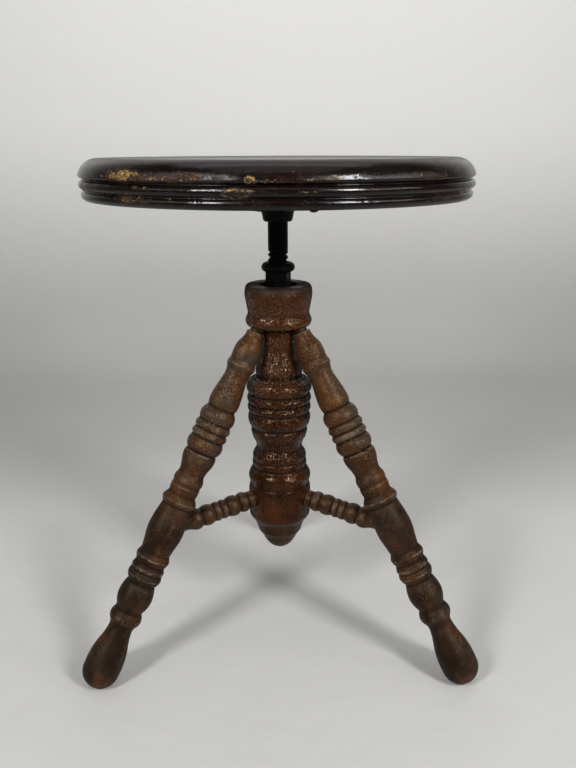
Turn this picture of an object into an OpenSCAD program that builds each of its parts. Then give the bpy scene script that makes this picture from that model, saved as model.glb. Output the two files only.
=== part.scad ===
// Revolving piano stool: a dished, reeded seat on an iron screw spindle, a turned
// column and three splayed, turned legs tied to the column by turned stretchers.
// Millimetres, +Z up. The origin is on the floor, on the axis of the spindle.

/* [Seat] */
// Largest diameter of the seat
seat_d = 358.6; // [300:1:420]
// Thickness of the seat at its crest
seat_t = 35.2; // [28:0.2:50]
// Depth of the dish turned in the top
dish_depth = 4.6; // [1:0.1:9]
// Radius of the rounded rim
rim_round_r = 17.6; // [12:0.1:20]
// Depth of the two grooves in the edge
groove_depth = 3.8; // [1:0.1:6]

/* [Seat plate] */
// Distance from the axis to each wood screw
screw_circle_r = 96; // [80:1:130]
// Thickness of the plate and its arms
plate_t = 4.5; // [3:0.1:7]
// Radius of the round plate round the boss
plate_r = 31; // [26:0.5:45]
// Width of an arm where it leaves the plate
arm_root_w = 25; // [18:0.5:32]
// Width of an arm at its screw
arm_tip_w = 17; // [12:0.5:22]
// Height of the plate and boss together
boss_h = 22.5; // [18:0.5:35]
// Radius of the boss at its lower end
boss_low_r = 13.9; // [13:0.1:17]
// Radius of the boss where it meets the plate
boss_high_r = 17; // [15:0.1:22]
// Turn of the spider from the front of the stool
spider_turn = 18; // [0:1:60]

/* [Spindle and nut] */
// Diameter of the spindle
spindle_d = 19.05; // [16:0.05:20]
// Length of the spindle from the top of the plate to its tail
spindle_len = 211.5; // [180:0.5:225]
// Clear height between the nut and the boss at the shown setting
spindle_show_h = 38.5; // [20:0.5:60]
// Rise of the seat for one turn of the thread
thread_pitch_h = 5.08; // [3:0.01:6]
// Turns that the seat can be wound down from the shown setting
turns_down = 2; // [0:1:4]
// Largest diameter of the nut's bead
nut_bead_d = 32.4; // [28:0.1:36]
// Height of the nut's bead
nut_bead_h = 9; // [6:0.1:12]
// Distance across the corners of the nut's hexagon
nut_hex_d = 24.8; // [24.6:0.1:28]
// Height of the nut above the top of the column
nut_stand_h = 21; // [14:0.5:30]
// Whole length of the nut
nut_len = 49.5; // [42:0.5:52]

/* [Column] */
// Height of the column
column_h = 283; // [250:1:320]
// Largest radius of the column
column_r = 33.2; // [31:0.1:36]
// Free length of the bore under the spindle's tail at the seat's lowest setting
bore_spare_len = 3.3; // [1:0.1:12]

/* [Legs] */
// Length of a leg from its foot to its shoulder
leg_len = 380; // [340:1:430]
// Largest radius of a leg
leg_r = 18.3; // [17:0.1:20]
// Lean of the legs from upright, in degrees
leg_splay = 29.45; // [26:0.05:33]
// Distance from the axis to the middle of a leg's shoulder
leg_head_r = 24.95; // [24:0.05:27]
// Diameter of the tenon at the top of a leg
leg_tenon_d = 14.4; // [12:0.1:15]
// Length of the tenon at the top of a leg
leg_tenon_len = 12; // [8:0.5:12.5]

/* [Stretchers] */
// Height of a stretcher's line above the column's tip, at the column's axis
stretcher_h = 66.2; // [50:0.1:78]
// Distance along a leg from its foot to the stretcher's line
leg_meet_len = 169; // [150:0.5:185]
// Largest radius of a stretcher
stretcher_r = 10.9; // [9:0.1:12]
// Diameter of a stretcher's tenons
stretcher_tenon_d = 15.8; // [12:0.1:16]
// Depth of a stretcher's tenon in the column
inner_tenon_len = 13; // [8:0.5:14]
// Depth of a stretcher's tenon in a leg, past the leg's near side
outer_tenon_len = 17; // [10:0.5:20]

/* [Fits] */
// Gap round a spindle turning in its nut
thread_gap = 0.06; // [0.02:0.01:0.1]
// Gap round a glued or driven joint
glue_gap = 0.05; // [0.02:0.01:0.1]
// Gap between loose pieces
loose_gap = 0.3; // [0.2:0.05:0.5]

/* [Hidden] */
$fn = 64;

// Steps in each curved stretch of a turned outline
arc_steps = 5;
// Steps in the ball of a foot
foot_steps = 8;
// Spare length of every cut
over_len = 1;

// Directions of the three legs round the axis, in degrees
left_turn = 210;
right_turn = 330;
back_turn = 90;
leg_turns = [left_turn, right_turn, back_turn];

// Foot of each leg: a ball with a small flat worn where it stands
foot_flat_depth = 0.8;
foot_ball_z = leg_r - foot_flat_depth;
foot_reach = leg_head_r + leg_len * sin(leg_splay);
foot_end_z = foot_ball_z - leg_r * cos(leg_splay);
leg_head_z = foot_end_z + leg_len * cos(leg_splay);
leg_end_chamfer_r = 0.8;

// Rows of a leg's outline above the foot's ball, from the ball to the shoulder:
// distance share, radius share, and bow share of the stretch that leads to the row
leg_shares = [
    [0, 1, 0],
    // foot and ankle
    [0.020, 1, 0], [0.075, 0.847, 0.036], [0.124, 0.655, -0.03], [0.144, 0.777, -0.034],
    // ring and ball
    [0.161, 0.876, 0.03], [0.178, 0.740, 0.022], [0.186, 0.755, 0],
    [0.223, 0.943, 0.05], [0.259, 0.785, 0.03], [0.262, 0.765, 0],
    // triple ring
    [0.280, 0.938, 0.02], [0.293, 0.880, 0.012], [0.295, 0.850, 0], [0.297, 0.880, 0],
    [0.309, 0.875, 0.03], [0.318, 0.810, 0], [0.336, 0.943, 0.012], [0.352, 0.810, 0.006],
    // barrel that takes the stretcher
    [0.393, 0.946, -0.006], [0.423, 0.989, 0.014], [0.462, 0.910, 0.012], [0.489, 0.825, 0],
    // ledge ring and reel
    [0.490, 0.810, 0], [0.505, 0.963, 0.028], [0.521, 0.785, 0.018], [0.525, 0.766, 0],
    [0.545, 0.806, 0.01], [0.552, 0.766, 0], [0.554, 0.780, 0], [0.575, 0.780, 0.042],
    [0.587, 0.715, -0.012], [0.614, 0.839, -0.018], [0.632, 0.904, 0.012],
    [0.644, 0.881, 0.01], [0.648, 0.805, 0], [0.652, 0.865, 0],
    // four beads
    [0.685, 0.915, 0.1], [0.688, 0.875, 0], [0.691, 0.915, 0], [0.708, 0.915, 0.068],
    [0.711, 0.870, 0], [0.713, 0.915, 0], [0.732, 0.915, 0.068], [0.735, 0.865, 0],
    [0.737, 0.905, 0], [0.772, 0.836, 0.1], [0.776, 0.757, 0], [0.778, 0.768, 0],
    // lower vase, ring and upper vase
    [0.798, 0.842, 0.018], [0.841, 0.740, 0.012], [0.869, 0.655, 0], [0.890, 0.706, -0.015],
    [0.902, 0.808, 0.005], [0.919, 0.723, 0], [0.943, 0.751, 0.016], [0.967, 0.655, 0.03],
    [0.986, 0.525, -0.014], [1, 0.514, 0]
];

// Column: the underside of its cap stands this far above the legs' shoulders
cap_head_gap = 5.8;
cap_share = 0.86;
body_share = 0.97;
neck_share = 0.492;
cap_edge_share = 0.92;
column_z = leg_head_z + cap_head_gap - cap_share * column_h;
column_top_z = column_z + column_h;

// Rows of the column's outline from its tip to the rim of its top face
column_shares = [
    [0, 0, 0],
    // drop at the lower end
    [0.035, 0.454, 0.074], [0.038, 0.457, 0], [0.052, 0.521, 0.018], [0.054, 0.540, 0],
    [0.080, 0.687, 0], [0.084, 0.684, 0], [0.115, 0.782, 0],
    // body that takes the stretchers
    [0.136, 0.911, -0.008], [0.154, 0.966, 0.01], [0.180, body_share, 0],
    [0.242, body_share, 0], [0.265, 0.929, 0.01], [0.275, 0.927, -0.012],
    [0.299, 0.969, 0.004], [0.328, 0.846, 0.022],
    // collar and cove
    [0.333, 0.818, 0], [0.338, 0.818, 0], [0.341, 0.838, 0], [0.358, 0.836, 0.012],
    [0.361, 0.810, 0], [0.364, 0.815, 0], [0.392, 0.791, 0.028], [0.412, 0.706, -0.014],
    [0.447, 0.811, -0.023], [0.465, 0.854, 0.003], [0.484, 0.846, 0.018], [0.488, 0.828, 0],
    // four rings
    [0.514, 0.951, 0.026], [0.542, 0.917, 0.022], [0.545, 0.896, 0], [0.548, 0.914, 0],
    [0.576, 0.914, 0.056], [0.578, 0.896, 0], [0.580, 0.914, 0], [0.611, 0.914, 0.066],
    [0.614, 0.896, 0], [0.616, 0.914, 0], [0.641, 0.994, 0.026], [0.667, 0.815, 0.05],
    // flange, then a bell-shaped neck
    [0.665, 0.775, 0], [0.671, 0.755, 0], [0.677, 0.625, 0], [0.700, 0.648, 0.012],
    [0.738, 0.535, 0.008], [0.776, 0.462, -0.012], [0.820, 0.466, -0.003],
    [cap_share, neck_share, -0.003],
    // cap
    [cap_share, cap_edge_share, 0],
    [0.878, 0.982, 0.018], [0.893, 0.936, 0.008], [0.906, 0.911, -0.004],
    [0.949, 0.978, 0], [0.988, 0.982, 0.02], [1, 0.920, 0.012]
];

// Nut, and the stepped bore that holds it
nut_bore_r = spindle_d / 2 + thread_gap;
nut_wall_t = 3;
nut_sleeve_r = nut_bore_r + nut_wall_t;
nut_collar_r = 15.6;
nut_collar_t = 2;
nut_seat_depth = 6;
nut_recess_r = 18;
nut_top_z = column_top_z + nut_stand_h;
nut_low_z = nut_top_z - nut_len;
nut_floor_z = column_top_z - nut_seat_depth;
nut_chamfer_r = 0.8;
hex_sides = 6;
hex_turn = -110;

// Stop washer, loose on the spindle's tail
washer_r = 10.6;
washer_t = 2.5;
bore_r = washer_r + loose_gap;

// Spindle: the shown setting fixes how high the boss stands over the nut
boss_low_z = nut_top_z + spindle_show_h;
plate_top_z = boss_low_z + boss_h;
spindle_low_z = plate_top_z - spindle_len;
spindle_r = spindle_d / 2;
bore_low_z = spindle_low_z - turns_down * thread_pitch_h - bore_spare_len;
spindle_neck_r = 7.9;
spindle_neck_depth = 8;
rivet_r = 11.4;
rivet_h = 4;
tail_r = 6;
tail_len = 9;
tail_chamfer_r = 1;
pin_r = 1.6;
pin_len = 18.6;
pin_z = spindle_low_z + tail_len - 2 * loose_gap - washer_t - pin_r;

// Seat plate
plate_edge_r = 1.2;
arm_count = 4;
arm_step = 360 / arm_count;
rib_t = 5;
rib_h = 9;
rib_end_share = 0.86;
front_turn = 270;

// Round-head wood screws
screw_r = 2.4;
screw_len = 24;
screw_point_len = 6;
screw_head_r = 4.6;
screw_head_h = 3;
screw_slot_w = 1.1;
screw_slot_depth = 1.3;
screw_core_share = 0.25;

// Seat edge: heights of its forms as shares of the thickness
rim_low_share = 0.597;
groove_high_share = 0.51;
groove_low_share = 0.243;
groove_w = 0.9;
upper_lip_bow_r = 0.7;
low_bead_bow_r = 2.4;
seat_low_edge_r = 1.2;
dish_bow_share = 0.25;
rim_steps = 8;
seat_r = seat_d / 2;
groove_r = seat_r - groove_depth;
rim_turn = acos(1 - seat_t * (1 - rim_low_share) / rim_round_r);
crest_r = seat_r - rim_round_r * sin(rim_turn);

// Stretcher: its line runs from the column's axis to a leg's axis
stretcher_z = column_z + stretcher_h;
leg_meet_r = foot_reach - leg_meet_len * sin(leg_splay);
leg_meet_z = foot_end_z + leg_meet_len * cos(leg_splay);
stretcher_fall = atan((stretcher_z - leg_meet_z) / leg_meet_r);
stretcher_run = leg_meet_r / cos(stretcher_fall);
meet_angle = 90 - leg_splay - stretcher_fall;
barrel_share = 0.985;
stretcher_from = body_share * column_r / cos(stretcher_fall);
stretcher_to = stretcher_run - barrel_share * leg_r / sin(meet_angle);
stretcher_tenon_r = stretcher_tenon_d / 2;
tenon_chamfer_r = 0.6;

// Rows of a stretcher's outline from the column to the leg
stretcher_shares = [
    // fine rings by the column
    [0.020, 0.790, 0], [0.050, 0.790, 0.02], [0.080, 0.790, 0.02], [0.100, 0.800, 0],
    // collar, then a bead
    [0.215, 0.830, 0.16], [0.228, 0.805, 0], [0.238, 0.830, 0], [0.398, 0.830, 0.16],
    // two small rings
    [0.408, 0.795, 0], [0.418, 0.815, 0], [0.499, 0.815, 0.09], [0.507, 0.790, 0],
    [0.515, 0.815, 0], [0.599, 0.815, 0.09], [0.608, 0.795, 0],
    // bead, then a collar
    [0.618, 0.830, 0], [0.776, 0.830, 0.16], [0.786, 0.805, 0], [0.796, 0.845, 0],
    [0.857, 1, 0.035], [0.945, 0.835, 0.05]
];

// Points after the first of a bowed stretch between two points of an outline
function bowed(from, to, bow) =
    bow == 0 ? [to] :
    let (run = to - from)
    let (chord = norm(run))
    let (along = run / chord)
    let (outward = [along.y, -along.x])
    let (bow_r = (chord * chord / 4 + bow * bow) / (2 * bow))
    let (half = asin(chord / (2 * bow_r)))
    [for (i = [1:arc_steps])
        let (a = half * (2 * i / arc_steps - 1))
        from + along * (chord / 2 + bow_r * sin(a)) + outward * bow_r * (cos(a) - cos(half))];

// Point [radius, distance] of one row of an outline
function station(row, length, radius) = [row[1] * radius, row[0] * length];

// Outline of a turning from its rows of shares
function turned(rows, length, radius) = [
    for (i = [0:len(rows) - 1])
        each i == 0
            ? [station(rows[0], length, radius)]
            : bowed(station(rows[i - 1], length, radius), station(rows[i], length, radius),
                rows[i][2] * radius)
];

// Points moved along the axis of a turning
function lifted(points, rise) = [for (p = points) [p.x, p.y + rise]];

// Frame of a leg: +Z runs up the leg from the end of its foot
module on_leg(turn) {
    rotate([0, 0, turn])
        translate([foot_reach, 0, foot_end_z])
            rotate([0, -leg_splay, 0])
                children();
}

// Frame of a stretcher: +Z runs out along it from the column's axis
module on_stretcher(turn) {
    rotate([0, 0, turn])
        translate([0, 0, stretcher_z])
            rotate([0, 90 + stretcher_fall, 0])
                children();
}

// Frame of a wood screw: +Z runs up through the arm
module on_screws() {
    for (i = [0:arm_count - 1])
        rotate([0, 0, front_turn + spider_turn + i * arm_step])
            translate([screw_circle_r, 0, plate_top_z - plate_t])
                children();
}

// Cylinder with both ends chamfered
module pin_shape(r, length, chamfer) {
    rotate_extrude()
        polygon([
            [0, 0],
            [r - chamfer, 0],
            [r, chamfer],
            [r, length - chamfer],
            [r - chamfer, length],
            [0, length]
        ]);
}

module leg(turn) {
    foot = [for (i = [0:foot_steps])
        let (a = 90 * i / foot_steps)
        [leg_r * sin(a), leg_r * (1 - cos(a))]];
    upper = lifted(turned(leg_shares, leg_len - leg_r, leg_r), leg_r);
    shaft = [for (i = [1:len(upper) - 1]) upper[i]];
    color("#3a2216")
        difference() {
            on_leg(turn)
                union() {
                    rotate_extrude()
                        polygon(concat(foot, shaft, [[0, leg_len]]));
                    translate([0, 0, leg_len - over_len])
                        pin_shape(leg_tenon_d / 2, leg_tenon_len + over_len, leg_end_chamfer_r);
                }
            // the flat that stands on the floor
            translate([-2 * foot_reach, -2 * foot_reach, -leg_r])
                cube([4 * foot_reach, 4 * foot_reach, leg_r]);
            // mortise for the stretcher
            on_stretcher(turn)
                translate([0, 0, stretcher_from])
                    cylinder(r = stretcher_tenon_r + glue_gap,
                        h = stretcher_to + outer_tenon_len + glue_gap - stretcher_from);
        }
}

module leg_left() {
    leg(left_turn);
}

module leg_right() {
    leg(right_turn);
}

module leg_back() {
    leg(back_turn);
}

module stretcher(turn) {
    visible = stretcher_to - stretcher_from;
    body = lifted(turned(stretcher_shares, visible, stretcher_r), stretcher_from);
    inner_end = stretcher_from - inner_tenon_len;
    outer_end = stretcher_to + outer_tenon_len;
    color("#4a2c18")
        on_stretcher(turn)
            rotate_extrude()
                polygon(concat(
                    [[0, inner_end]],
                    [[stretcher_tenon_r - tenon_chamfer_r, inner_end]],
                    [[stretcher_tenon_r, inner_end + tenon_chamfer_r]],
                    [[stretcher_tenon_r, stretcher_from]],
                    body,
                    [[stretcher_tenon_r, stretcher_to - tenon_chamfer_r]],
                    [[stretcher_tenon_r, outer_end - tenon_chamfer_r]],
                    [[stretcher_tenon_r - tenon_chamfer_r, outer_end]],
                    [[0, outer_end]]
                ));
}

module stretcher_left() {
    stretcher(left_turn);
}

module stretcher_right() {
    stretcher(right_turn);
}

module stretcher_back() {
    stretcher(back_turn);
}

module column() {
    color("#4b2617")
        difference() {
            translate([0, 0, column_z])
                rotate_extrude()
                    polygon(concat(turned(column_shares, column_h, column_r), [[0, column_h]]));
            // recess that shows round the nut
            translate([0, 0, nut_floor_z])
                cylinder(r = nut_recess_r, h = nut_seat_depth + over_len);
            // seat of the nut's sleeve
            translate([0, 0, nut_low_z - glue_gap])
                cylinder(r = nut_sleeve_r + glue_gap, h = nut_floor_z + over_len - nut_low_z);
            // bore in which the spindle's tail travels
            translate([0, 0, bore_low_z])
                cylinder(r = bore_r, h = column_top_z - bore_low_z);
            for (turn = leg_turns) {
                // mortise for the leg's tenon
                on_leg(turn)
                    translate([0, 0, leg_len])
                        cylinder(r = leg_tenon_d / 2 + glue_gap, h = leg_tenon_len + glue_gap);
                // mortise for the stretcher's tenon
                on_stretcher(turn)
                    translate([0, 0, stretcher_from - inner_tenon_len - glue_gap])
                        cylinder(r = stretcher_tenon_r + glue_gap,
                            h = inner_tenon_len + over_len);
            }
        }
}

module spindle_nut() {
    bead_r = nut_bead_d / 2;
    bead_bow = bead_r - nut_sleeve_r;
    color("#17171a")
        difference() {
            union() {
                // bead that the hand meets
                translate([0, 0, nut_top_z - nut_bead_h])
                    rotate_extrude()
                        polygon(concat(
                            [[0, 0]],
                            [[nut_sleeve_r, 0]],
                            bowed([nut_sleeve_r, 0], [nut_sleeve_r, nut_bead_h], bead_bow),
                            [[0, nut_bead_h]]
                        ));
                // hexagon for the wrench
                translate([0, 0, nut_floor_z])
                    rotate([0, 0, hex_turn])
                        cylinder(r = nut_hex_d / 2, h = nut_top_z - nut_bead_h - nut_floor_z + over_len,
                            $fn = hex_sides);
                // collar that seats on the floor of the recess
                translate([0, 0, nut_floor_z])
                    cylinder(r = nut_collar_r, h = nut_collar_t);
                // sleeve driven into the column
                translate([0, 0, nut_low_z])
                    cylinder(r = nut_sleeve_r, h = nut_floor_z - nut_low_z + over_len);
            }
            translate([0, 0, nut_low_z - over_len])
                cylinder(r = nut_bore_r, h = nut_len + 2 * over_len);
            translate([0, 0, nut_top_z - nut_chamfer_r])
                cylinder(r1 = nut_bore_r, r2 = nut_bore_r + 2 * nut_chamfer_r, h = 2 * nut_chamfer_r);
        }
}

module spindle() {
    neck_low_z = boss_low_z + spindle_neck_depth;
    color("#151517")
        difference() {
            rotate_extrude()
                polygon([
                    [0, spindle_low_z],
                    [tail_r - tail_chamfer_r, spindle_low_z],
                    [tail_r, spindle_low_z + tail_chamfer_r],
                    [tail_r, spindle_low_z + tail_len],
                    [spindle_r - tail_chamfer_r, spindle_low_z + tail_len],
                    [spindle_r, spindle_low_z + tail_len + tail_chamfer_r],
                    [spindle_r, neck_low_z],
                    [spindle_neck_r, neck_low_z],
                    [spindle_neck_r, plate_top_z - rivet_h],
                    [rivet_r, plate_top_z],
                    [0, plate_top_z]
                ]);
            // hole for the stop pin
            translate([-spindle_r, 0, pin_z])
                rotate([0, 90, 0])
                    cylinder(r = pin_r + glue_gap, h = spindle_d);
        }
}

module stop_pin() {
    color("#2a2a2c")
        translate([-pin_len / 2, 0, pin_z])
            rotate([0, 90, 0])
                cylinder(r = pin_r, h = pin_len);
}

module stop_washer() {
    color("#26262a")
        translate([0, 0, pin_z + pin_r + loose_gap])
            difference() {
                cylinder(r = washer_r, h = washer_t);
                translate([0, 0, -over_len])
                    cylinder(r = tail_r + loose_gap, h = washer_t + 2 * over_len);
            }
}

module plate_arm() {
    tip_r = arm_tip_w / 2;
    low_z = plate_top_z - plate_t;
    // flat arm with a round end
    translate([0, 0, low_z])
        linear_extrude(plate_t)
            union() {
                polygon([
                    [0, -arm_root_w / 2],
                    [screw_circle_r, -tip_r],
                    [screw_circle_r, tip_r],
                    [0, arm_root_w / 2]
                ]);
                translate([screw_circle_r, 0])
                    circle(r = tip_r);
            }
    // rib under the arm, deepest at the boss
    translate([0, rib_t / 2, 0])
        rotate([90, 0, 0])
            linear_extrude(rib_t)
                polygon([
                    [boss_low_r / 2, low_z + plate_t / 2],
                    [boss_low_r / 2, low_z - rib_h],
                    [boss_high_r, low_z - rib_h],
                    [screw_circle_r * rib_end_share, low_z],
                    [screw_circle_r * rib_end_share, low_z + plate_t / 2]
                ]);
}

module seat_plate() {
    low_z = plate_top_z - plate_t;
    hole_r = spindle_neck_r + glue_gap;
    color("#1b1b1e")
        difference() {
            union() {
                for (i = [0:arm_count - 1])
                    rotate([0, 0, front_turn + spider_turn + i * arm_step])
                        plate_arm();
                rotate_extrude()
                    polygon([
                        [0, boss_low_z],
                        [boss_low_r - plate_edge_r, boss_low_z],
                        [boss_low_r, boss_low_z + plate_edge_r],
                        [boss_high_r, low_z - plate_edge_r],
                        [boss_high_r + plate_edge_r, low_z],
                        [plate_r - plate_edge_r, low_z],
                        [plate_r, low_z + plate_edge_r],
                        [plate_r, plate_top_z],
                        [0, plate_top_z]
                    ]);
            }
            // stepped and countersunk hole for the spindle's riveted top
            translate([0, 0, boss_low_z - over_len])
                cylinder(r = spindle_r + glue_gap, h = spindle_neck_depth + over_len);
            translate([0, 0, boss_low_z])
                cylinder(r = hole_r, h = boss_h + over_len);
            translate([0, 0, plate_top_z - rivet_h])
                cylinder(r1 = hole_r, r2 = rivet_r + glue_gap, h = rivet_h);
            on_screws()
                translate([0, 0, -over_len])
                    cylinder(r = screw_r + glue_gap, h = plate_t + 2 * over_len);
        }
}

// One screw, point up, with its head under z = 0
module wood_screw() {
    dome = bowed([0, -screw_head_h], [screw_head_r, 0], screw_head_r * screw_core_share);
    difference() {
        rotate_extrude()
            polygon(concat(
                [[0, -screw_head_h]],
                dome,
                [[screw_r, 0]],
                [[screw_r, screw_len - screw_point_len]],
                [[0, screw_len]]
            ));
        translate([-screw_head_r, -screw_slot_w / 2, -screw_head_h - over_len])
            cube([2 * screw_head_r, screw_slot_w, screw_slot_depth + over_len]);
    }
}

module plate_screws() {
    color("#232326")
        on_screws()
            wood_screw();
}

module seat() {
    rim_low = seat_t * rim_low_share;
    high_z = seat_t * groove_high_share;
    low_z = seat_t * groove_low_share;
    rim = [for (i = [1:rim_steps])
        let (a = rim_turn * (1 - i / rim_steps))
        [crest_r + rim_round_r * sin(a), seat_t - rim_round_r * (1 - cos(a))]];
    outline = concat(
        [[0, 0]],
        [[groove_r - seat_low_edge_r, 0]],
        [[groove_r - seat_low_edge_r / 2, seat_low_edge_r / 2]],
        bowed([groove_r - seat_low_edge_r / 2, seat_low_edge_r / 2], [groove_r, low_z - groove_w / 2],
            low_bead_bow_r),
        [[groove_r, low_z + groove_w / 2]],
        bowed([groove_r, low_z + groove_w / 2], [groove_r, high_z - groove_w / 2], groove_depth),
        [[groove_r, high_z + groove_w / 2]],
        bowed([groove_r, high_z + groove_w / 2], [seat_r, rim_low], upper_lip_bow_r),
        rim,
        bowed([crest_r, seat_t], [0, seat_t - dish_depth], -dish_depth * dish_bow_share)
    );
    color("#20120d")
        difference() {
            translate([0, 0, plate_top_z])
                rotate_extrude()
                    polygon(outline);
            // pilot holes of the wood screws
            on_screws()
                rotate_extrude()
                    polygon([
                        [0, 0],
                        [screw_r + glue_gap, 0],
                        [screw_r + glue_gap, screw_len - screw_point_len],
                        [0, screw_len + glue_gap]
                    ]);
        }
}

seat();
seat_plate();
plate_screws();
spindle();
spindle_nut();
column();
leg_left();
leg_right();
leg_back();
stretcher_left();
stretcher_right();
stretcher_back();
stop_washer();
stop_pin();
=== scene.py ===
import math

import bmesh
import bpy
import numpy as np
from mathutils import Matrix, Vector


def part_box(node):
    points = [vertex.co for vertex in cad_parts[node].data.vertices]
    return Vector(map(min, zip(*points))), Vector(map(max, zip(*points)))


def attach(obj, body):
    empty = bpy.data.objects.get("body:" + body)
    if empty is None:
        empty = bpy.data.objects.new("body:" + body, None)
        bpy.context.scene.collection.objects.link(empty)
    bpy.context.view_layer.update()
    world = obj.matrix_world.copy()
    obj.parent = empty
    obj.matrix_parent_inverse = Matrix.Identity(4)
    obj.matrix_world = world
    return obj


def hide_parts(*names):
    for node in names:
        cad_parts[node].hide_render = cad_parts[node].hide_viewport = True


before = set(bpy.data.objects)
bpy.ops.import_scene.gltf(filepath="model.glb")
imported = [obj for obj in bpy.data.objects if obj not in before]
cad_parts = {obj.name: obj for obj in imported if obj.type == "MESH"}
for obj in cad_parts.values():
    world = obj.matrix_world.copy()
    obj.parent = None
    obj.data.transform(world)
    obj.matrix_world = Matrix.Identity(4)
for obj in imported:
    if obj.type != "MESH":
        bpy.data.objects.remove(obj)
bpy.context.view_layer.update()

MM = 0.001

# Camera of the photograph, in metres and degrees: a pinhole just above the seat, pitched down
CAMERA_PLACE = (0.0, -0.72065, 0.50204)
CAMERA_PITCH = 17.388
CAMERA_YAW = -0.7236
CAMERA_ROLL = -0.2
FRAME_HEIGHT_PX = 768
FOCAL_PX = 750
SENSOR_MM = 36

# Directions of the legs round the axis, in degrees, and the bodies
LEG_TURNS = {"left": 210, "right": 330, "back": 90}
BASE = "base"
SEAT_BODY = "turning_seat"

# Sizes in millimetres, as in the construction
LEG_LEN = 380.0
LEG_R = 18.3
LEG_HEAD_R = 24.95
LEG_TENON_R = 7.2
LEG_MEET_LEN = 169.0
FOOT_FLAT_DEPTH = 0.8
COLUMN_R = 33.2
RECESS_R = 18.0
RECESS_DEPTH = 6.0
STRETCHER_R = 10.9
STRETCHER_TENON_R = 7.9
STRETCHER_H = 66.2
SEAT_R = 179.3
SEAT_LOW_EDGE_R = 1.2
DISH_DEPTH = 4.6
RIM_ROUND_R = 17.6
GROOVE_DEPTH = 3.8
GROOVE_W = 0.9
LOW_REED_BOW = 2.4
UPPER_LIP_BOW = 0.7
SPINDLE_R = 9.525
SPINDLE_NECK_R = 7.9
SPINDLE_TAIL_R = 6.0
SPINDLE_TAIL_LEN = 9.0
THREAD_PITCH = 5.08

# Sizes in millimetres that are the scene's own: the thread, worn edges and ends out of sight
THREAD_DEPTH = 1.5
THREAD_OVER_NUT = 11.0         # from the top of the nut to the end of the thread
SPINDLE_EDGE = 2.0
SPINDLE_SHOULDER_LEN = 15.0    # from the shoulder, inside the plate's boss, to the CAD's top
SPINDLE_LEFT_OUT = 10.5        # length of that top which the plate hides and which isn't made
RECESS_EDGE = 0.6
NUT_SLEEVE_R = 12.7            # rounded up, as the hole under the nut isn't made
LEG_TENON_LEN = 9.0
STRETCHER_TENON_LEN = 8.0

# Shares of the column's radius and height, a leg's radius, the seat's thickness and its dish
BODY_SHARE = 0.97
CAP_SHARE = 0.86
BARREL_SHARE = 0.985
RIM_LOW_SHARE = 0.597
GROOVE_HIGH_SHARE = 0.51
GROOVE_LOW_SHARE = 0.243
DISH_BOW_SHARE = 0.25

# How far a leg leans, and where the end of its foot comes out
LEG_SPLAY = math.radians(29.45)
FOOT_REACH = LEG_HEAD_R + LEG_LEN * math.sin(LEG_SPLAY)
FOOT_END_Z = LEG_R - FOOT_FLAT_DEPTH - LEG_R * math.cos(LEG_SPLAY)

# Straight runs of each bowed stretch, and the angle in degrees from which an edge is sharp
BOW_STEPS = 7
SHARP_ANGLE = 55

# Cells of crazed varnish in a metre, and the reach in which an edge counts as a ridge, in mm
SCALE_CELLS = 500
RIDGE_REACH = 2.2

# Stations of the turned outlines from the lower or inner end: distance, radius and bow shares.
# They are the construction's, but for the column's neck, which is wider here, as in the photo
LEG_SHARES = [
    (0, 1, 0),
    # foot and ankle
    (0.020, 1, 0), (0.075, 0.847, 0.036), (0.124, 0.655, -0.03), (0.144, 0.777, -0.034),
    # ring and ball
    (0.161, 0.876, 0.03), (0.178, 0.740, 0.022), (0.186, 0.755, 0),
    (0.223, 0.943, 0.05), (0.259, 0.785, 0.03), (0.262, 0.765, 0),
    # triple ring
    (0.280, 0.938, 0.02), (0.293, 0.880, 0.012), (0.295, 0.850, 0), (0.297, 0.880, 0),
    (0.309, 0.875, 0.03), (0.318, 0.810, 0), (0.336, 0.943, 0.012), (0.352, 0.810, 0.006),
    # barrel that takes the stretcher
    (0.393, 0.946, -0.006), (0.423, 0.989, 0.014), (0.462, 0.910, 0.012), (0.489, 0.825, 0),
    # ledge ring and reel
    (0.490, 0.810, 0), (0.505, 0.963, 0.028), (0.521, 0.785, 0.018), (0.525, 0.766, 0),
    (0.545, 0.806, 0.01), (0.552, 0.766, 0), (0.554, 0.780, 0), (0.575, 0.780, 0.042),
    (0.587, 0.715, -0.012), (0.614, 0.839, -0.018), (0.632, 0.904, 0.012),
    (0.644, 0.881, 0.01), (0.648, 0.805, 0), (0.652, 0.865, 0),
    # four beads
    (0.685, 0.915, 0.1), (0.688, 0.875, 0), (0.691, 0.915, 0), (0.708, 0.915, 0.068),
    (0.711, 0.870, 0), (0.713, 0.915, 0), (0.732, 0.915, 0.068), (0.735, 0.865, 0),
    (0.737, 0.905, 0), (0.772, 0.836, 0.1), (0.776, 0.757, 0), (0.778, 0.768, 0),
    # lower vase, ring and upper vase
    (0.798, 0.842, 0.018), (0.841, 0.740, 0.012), (0.869, 0.655, 0), (0.890, 0.706, -0.015),
    (0.902, 0.808, 0.005), (0.919, 0.723, 0), (0.943, 0.751, 0.016), (0.967, 0.655, 0.03),
    (0.986, 0.525, -0.014), (1, 0.514, 0),
]
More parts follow.
